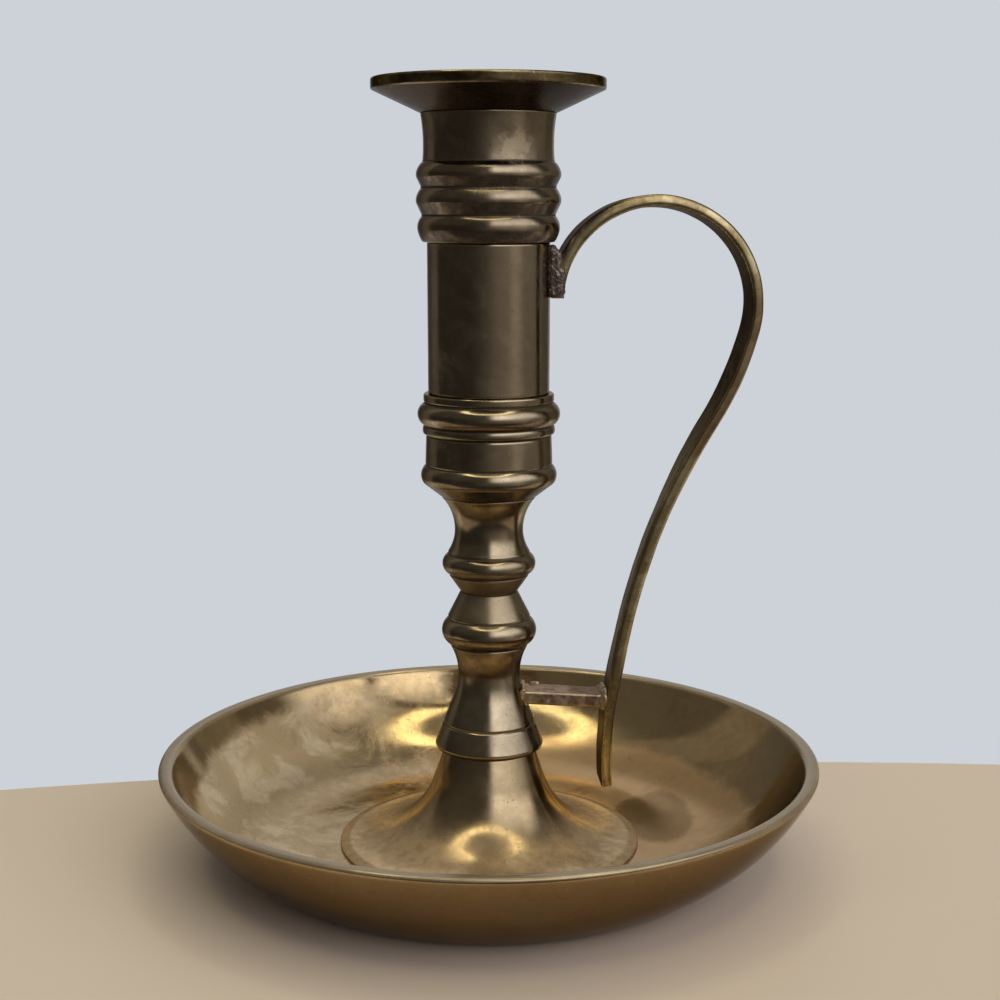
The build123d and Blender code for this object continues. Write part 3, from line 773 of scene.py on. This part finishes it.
slag_braze = braze_finish("slag_braze", colour(118, 102, 95), colour(60, 50, 45), colour(214, 202, 192))
filed_braze = braze_finish("filed_braze", colour(180, 160, 128), colour(130, 112, 88), colour(216, 198, 176))
brazing = braze_tree()
braze_grain = 0.14 * MM
pits_to_swell = 0.6
braze_runs = {
    "braze_socket": (1.0, 0.45, slag_braze, [
        ((12.3, -4.3, 117.5), (12.2, -4.3, 126.0)), ((13.1, -4.4, 117.4), (13.3, -4.4, 125.0)),
        ((13.8, -4.4, 117.6), (13.9, -4.4, 121.5)),
        ((12.3, 4.3, 117.5), (12.2, 4.3, 126.0)), ((13.1, 4.4, 117.4), (13.3, 4.4, 125.0)),
        ((13.8, 4.4, 117.6), (13.9, 4.4, 121.5)),
        ((13.3, -3.6, 117.4), (13.3, 3.6, 117.4)), ((12.6, -3.6, 125.4), (12.6, 3.6, 125.4)),
    ]),
    "braze_stem": (0.55, 0.3, filed_braze, [
        ((7.0, -2.9, 36.0), (7.2, 2.9, 36.2)), ((7.3, -2.8, 33.0), (7.3, 2.8, 33.0)),
        ((6.4, -3.1, 33.2), (6.5, -3.1, 35.8)), ((6.4, 3.1, 33.2), (6.5, 3.1, 35.8)),
        ((9.0, 2.4, 35.9), (10.4, 2.6, 35.8)),
    ]),
    "braze_tail": (0.65, 0.25, filed_braze, [
        ((22.5, -2.7, 33.4), (23.3, -3.1, 33.6)), ((23.3, -3.1, 32.4), (23.4, -3.1, 34.0)),
        ((24.0, -3.5, 32.5), (24.0, -3.5, 34.3)), ((24.1, -2.8, 35.1), (24.1, 2.8, 35.1)),
        ((23.2, 3.2, 32.0), (23.2, 3.2, 34.2)), ((24.0, 3.7, 32.0), (24.0, 3.7, 34.2)),
        ((23.6, -3.0, 34.5), (23.6, 3.0, 34.5)), ((23.8, -3.0, 31.7), (23.8, 3.0, 31.7)),
    ]),
}
for braze_node, (drop, swell, braze_metal, seams) in braze_runs.items():
    seam_ends = [tuple(length * MM for length in end) for seam in seams for end in seam]
    seam_edges = [(2 * index, 2 * index + 1) for index in range(len(seams))]
    lump = made_by(brazing, braze_node + "_run", seam_ends, seam_edges, {
        "Drop": drop * MM, "Grain": braze_grain, "Swell": swell * MM, "Pits": swell * pits_to_swell * MM,
        "Finish": braze_metal,
    })
    fit(lump, braze_node)


# Stage: a plain pale oval board, and a soft studio of a pale wall behind, a wide window on the right, a
# warm lamp overhead and dim sides, all in the world.
board_half_length, board_half_width, board_thickness = 0.25, 0.0695, 0.02
board_toward_camera = 0.0145
bpy.ops.mesh.primitive_cylinder_add(vertices=256, radius=1.0, depth=1.0)
board = bpy.context.object
board.name = "pale_board"
for vertex in board.data.vertices:
    x, y, z = vertex.co
    y = y * board_half_width - board_toward_camera
    vertex.co = (x * board_half_length, y, (z - 0.5) * board_thickness)
board_paint = bpy.data.materials.new("board_paint")
board_paint.use_nodes = True
board_shader = board_paint.node_tree.nodes["Principled BSDF"]
board_shader.inputs["Base Color"].default_value = colour(222, 205, 190)
board_shader.inputs["Roughness"].default_value = 0.7
board.data.materials.append(board_paint)

world = bpy.data.worlds.new("studio")
bpy.context.scene.world = world
world.use_nodes = True
world.node_tree.nodes.clear()
way = Tap(world.node_tree).node("ShaderNodeTexCoord", {}, {}, "Generated")
east = way.node("ShaderNodeSeparateXYZ", {}, {"Vector": way}, "X")
north = east.other("Y")
DEGREES = 180 / math.pi


def span(angle, first, last, edge):
    """A band of angles with soft edges."""
    return angle.rise(first - edge, first + edge) * (1 - angle.rise(last - edge, last + edge))


# Angles in degrees: round from the camera's side, round from behind, and up from the table
bearing = east.sum("ARCTAN2", east, north * -1.0) * DEGREES
off_back = east.sum("ARCTAN2", east, north) * DEGREES
rise = east.sum("ARCSINE", east.other("Z")) * DEGREES
below_ceiling = 1 - rise.rise(50.0, 75.0)
low = rise.rise(-30.0, -8.0) * (1 - rise.rise(9.0, 16.0))
# Daylight: the wall behind, brightest in its middle, and the window
backdrop = span(off_back, -13.0, 34.0, 4.0) * (1 - rise.rise(6.0, 20.0))
glow = span(off_back, -8.0, 20.0, 7.0) * below_ceiling
wall = backdrop * 0.35 + glow * 0.50 + span(off_back, -42.0, 42.0, 4.0) * below_ceiling * 0.08
window_level = 2.3 - 0.9 * bearing.rise(15.0, 90.0)
window = span(bearing, 1.0, 85.0, 8.0) * span(rise, 12.0, 53.0, 14.0) * window_level
day = way.node("ShaderNodeBackground", {}, {"Color": (0.98, 1.0, 1.04, 1.0), "Strength": wall + window})
# Brown room: both ends, the low front with its sill, the ceiling and the table behind
left_end = span(bearing, -138.0, -115.0, 2.0) * below_ceiling * 0.16
right_end = span(bearing, 113.0, 138.0, 2.0) * below_ceiling * 0.13
front_level = 0.30 - 0.09 * bearing.rise(54.0, 70.0)
front = bearing.rise(-45.0, 55.0) * front_level * (1 - bearing.rise(111.0, 115.0))
sill = span(bearing, 38.0, 56.0, 8.0) * 0.16
ceiling = rise.rise(52.0, 70.0) * 0.25 + span(rise, 14.0, 60.0, 10.0) * 0.05
table = span(off_back, -95.0, 95.0, 15.0) * (1 - rise.rise(-30.0, -12.0)) * 1.1
brown = left_end + right_end + (front + sill) * low + ceiling + table + 0.05
room = way.node("ShaderNodeBackground", {}, {"Color": (1.0, 0.94, 0.84, 1.0), "Strength": brown})
# Ring of a warm lamp overhead
lamp_place = (-0.03, -0.14, 0.9897)
off_lamp = way.vector("DOT_PRODUCT", way, lamp_place, output="Value")
off_lamp = off_lamp.sum("ARCCOSINE", off_lamp) * DEGREES
lamp = span(off_lamp, 18.5, 25.5, 1.5) * 3.4
overhead = way.node("ShaderNodeBackground", {}, {"Color": (1.0, 0.94, 0.62, 1.0), "Strength": lamp})
studio = way.node("ShaderNodeAddShader", {}, {0: day, 1: room})
lit = way.node("ShaderNodeAddShader", {}, {0: studio, 1: overhead})
# The camera sees plain pale paper all round, and the metal sees the same paper behind the object
rays = way.node("ShaderNodeLightPath", {}, {}, "Is Camera Ray")
seen = rays + (rays.other("Is Glossy Ray") + rays.other("Is Transmission Ray")) * backdrop
paper = way.node("ShaderNodeBackground", {}, {"Color": colour(205, 210, 216), "Strength": 1.0})
shown = way.node("ShaderNodeMixShader", {}, {0: seen, 1: lit, 2: paper})
shown.node("ShaderNodeOutputWorld", {}, {"Surface": shown})

camera = bpy.data.objects.new("camera", bpy.data.cameras.new("camera"))
bpy.context.scene.collection.objects.link(camera)
camera.data.sensor_width = 36.0
camera.data.lens = 60.73
camera.location = (-0.0271, -0.3370, 0.13516)
camera.rotation_euler = (math.radians(79.99), 0, math.radians(-4.98))
bpy.context.scene.camera = camera
bpy.context.scene.view_settings.view_transform = "Standard"
